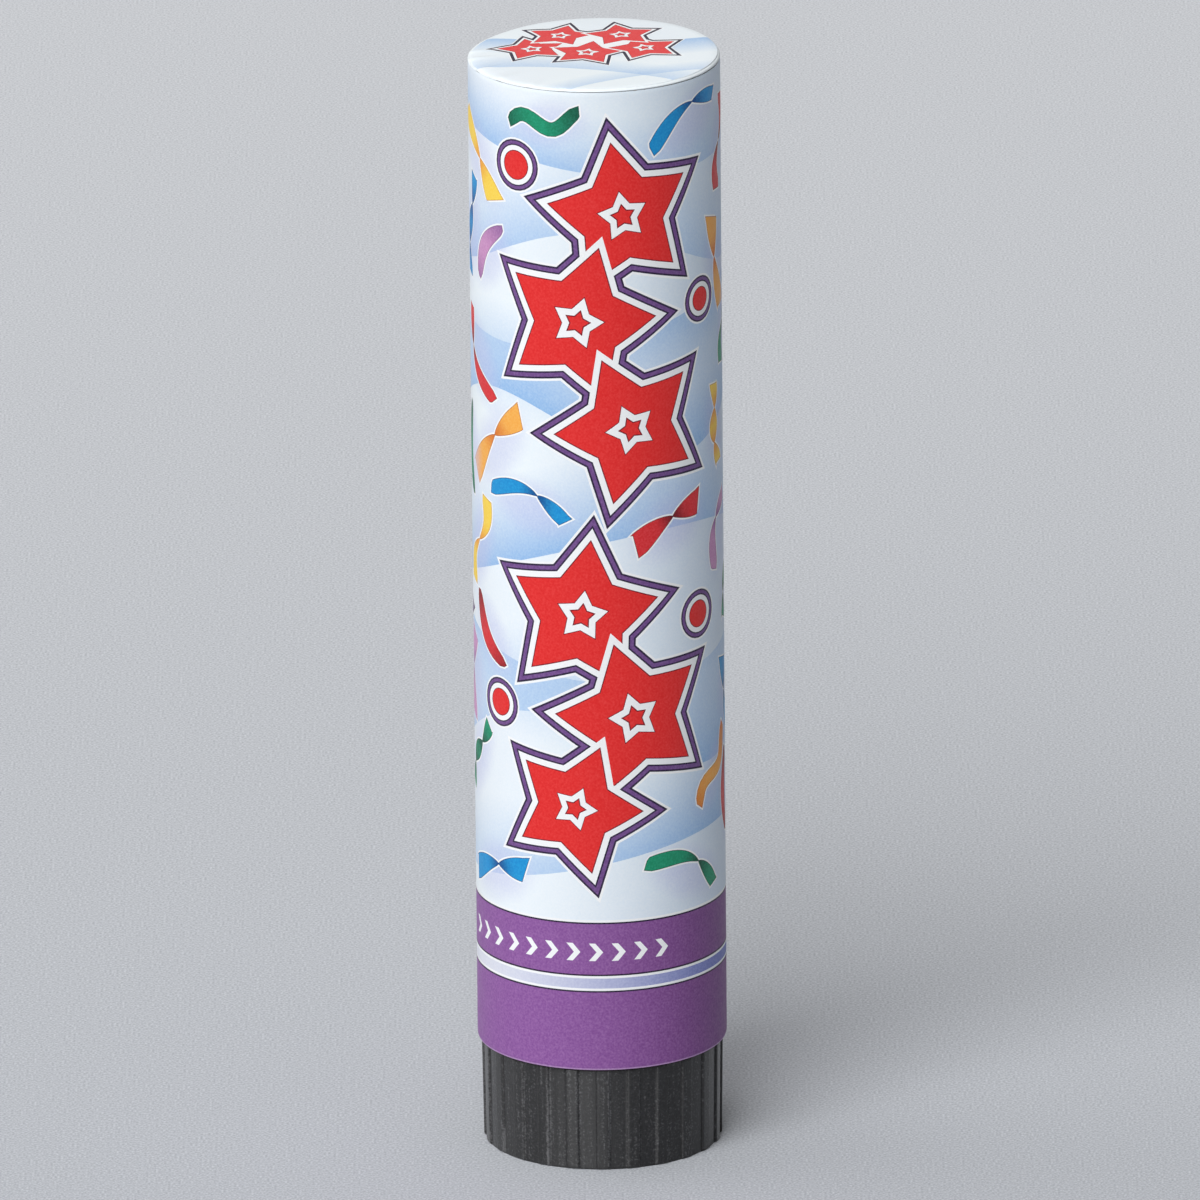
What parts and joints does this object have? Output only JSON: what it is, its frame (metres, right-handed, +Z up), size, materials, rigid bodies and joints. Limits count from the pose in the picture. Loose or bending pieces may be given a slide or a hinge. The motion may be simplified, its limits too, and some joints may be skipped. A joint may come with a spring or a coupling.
{
  "type": "confetti popper",
  "caption": "Upright printed paper tube with a sealed top on a black ribbed twist grip; twisting the grip opens a gas cylinder that blows paper confetti out of the top.",
  "frame": {"origin": "centre of the grip's standing rim, on the tube's axis", "axes": "+Z up along the tube's axis, -Y towards the front of the print, +X to its right"},
  "size_m": [0.045, 0.0451, 0.203],
  "materials": {
    "tube_board": "spirally wound grey-brown board, matt",
    "wrap_print": "printed paper, satin gloss",
    "seal_print": "printed card, satin gloss",
    "grey_card": "grey card, matt",
    "spring_steel": "bright spring wire",
    "collar_plastic": "moulded off-white plastic",
    "black_plastic": "moulded black plastic, fine matt texture",
    "aluminium": "drawn aluminium",
    "brass": "turned brass",
    "black_rubber": "moulded rubber",
    "plug_plastic": "moulded white plastic",
    "grey_felt": "pressed felt",
    "tissue_red": "tissue slips",
    "tissue_blue": "tissue slips",
    "tissue_green": "tissue slips",
    "tissue_yellow": "tissue slips",
    "tissue_pink": "tissue slips"
  },
  "bodies": {
    "tube": {"paper_tube": "tube_board", "printed_wrap": "wrap_print", "collar_staples": "spring_steel", "fixed_collar": "collar_plastic", "retaining_ring": "spring_steel", "neck_clip": "spring_steel", "gas_cylinder": "aluminium", "valve_bush": "brass", "bush_gasket": "black_rubber", "cylinder_spacer": "collar_plastic"},
    "grip": {"twist_grip": "black_plastic", "cam_plate": "black_plastic"},
    "plug": {"release_plug": "plug_plastic", "plug_o_ring": "black_rubber"},
    "wad": {"pusher_disc": "grey_card", "felt_pad": "grey_felt"},
    "confetti": {"confetti_red": "tissue_red", "confetti_blue": "tissue_blue", "confetti_green": "tissue_green", "confetti_yellow": "tissue_yellow", "confetti_pink": "tissue_pink"},
    "lid": {"closure_card": "grey_card", "top_seal": "seal_print"}
  },
  "joints": [
    {"name": "grip_twist", "type": "hinge", "parent": "tube", "child": "grip", "pos_m": [0, 0, 0], "axis": [0, 0, 1], "range_deg": [0, 75]},
    {"name": "plug_drop", "type": "slide", "parent": "tube", "child": "plug", "axis": [0, 0, 1], "range_m": [-0.003, 0]},
    {"name": "wad_launch", "type": "slide", "parent": "tube", "child": "wad", "axis": [0, 0, 1], "range_m": [0, 0.105]},
    {"name": "confetti_launch", "type": "slide", "parent": "wad", "child": "confetti", "axis": [0, 0, 1], "range_m": [0, 0.095]},
    {"name": "lid_lift", "type": "slide", "parent": "confetti", "child": "lid", "axis": [0, 0, 1], "range_m": [0, 0.03]}
  ],
  "couplings": [
    {"joint": "plug_drop", "follows": "grip_twist", "m_per_rad": -0.0022918}
  ]
}
